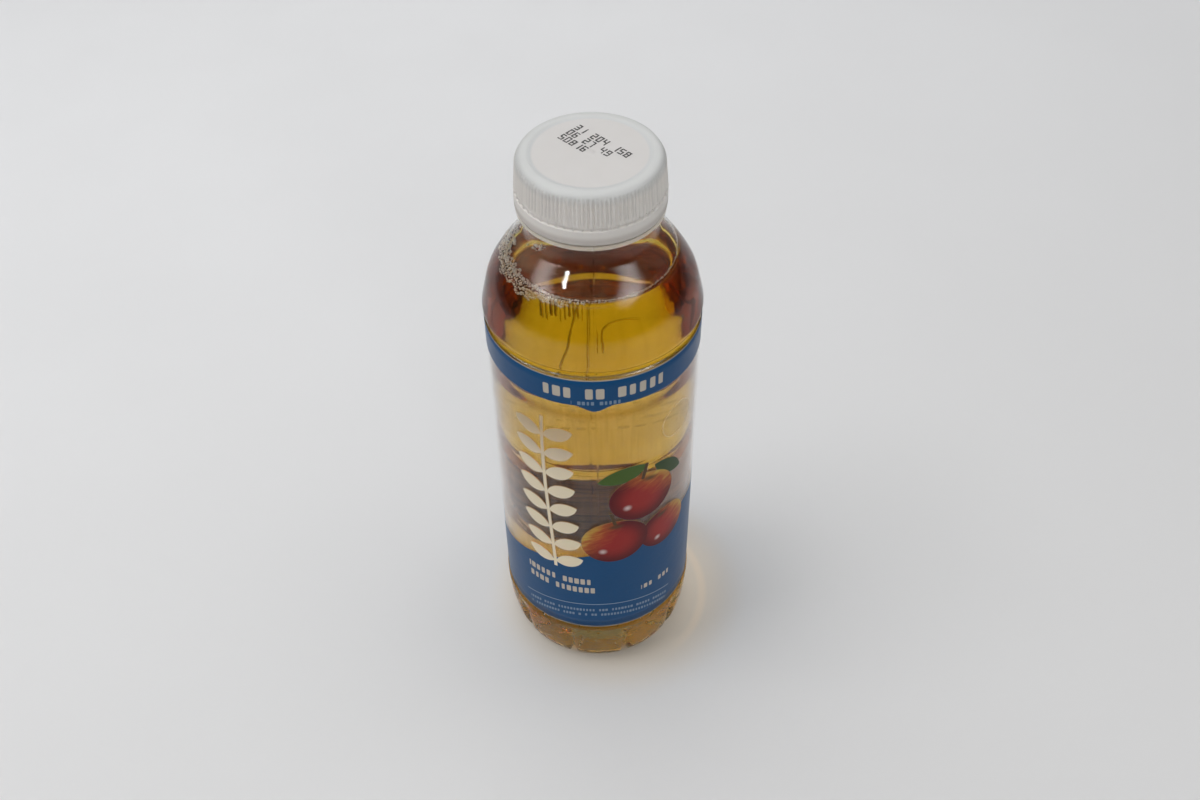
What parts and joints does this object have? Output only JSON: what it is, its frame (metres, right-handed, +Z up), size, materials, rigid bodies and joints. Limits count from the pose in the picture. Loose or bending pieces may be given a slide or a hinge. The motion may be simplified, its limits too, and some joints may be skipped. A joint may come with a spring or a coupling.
{
  "type": "juice bottle",
  "caption": "Clear plastic bottle of apple juice with a round shoulder, a grooved foot ring, a blue and clear film label and a ribbed white screw cap.",
  "frame": {"origin": "on the surface the bottle stands on, under the middle of its base", "axes": "+Z up along the bottle's axis, -Y towards the front, which is the side of the label that the picture shows"},
  "size_m": [0.0558, 0.0554, 0.1686],
  "materials": {
    "bottle": "clear glossy blown plastic",
    "juice": "clear golden amber liquid",
    "label_film": "glossy film printed in dark blue, clear in its middle",
    "cap": "satin translucent off-white plastic"
  },
  "bodies": {
    "root": {"bottle": "bottle", "juice": "juice", "label_film": "label_film", "cap": "cap"}
  },
  "joints": []
}
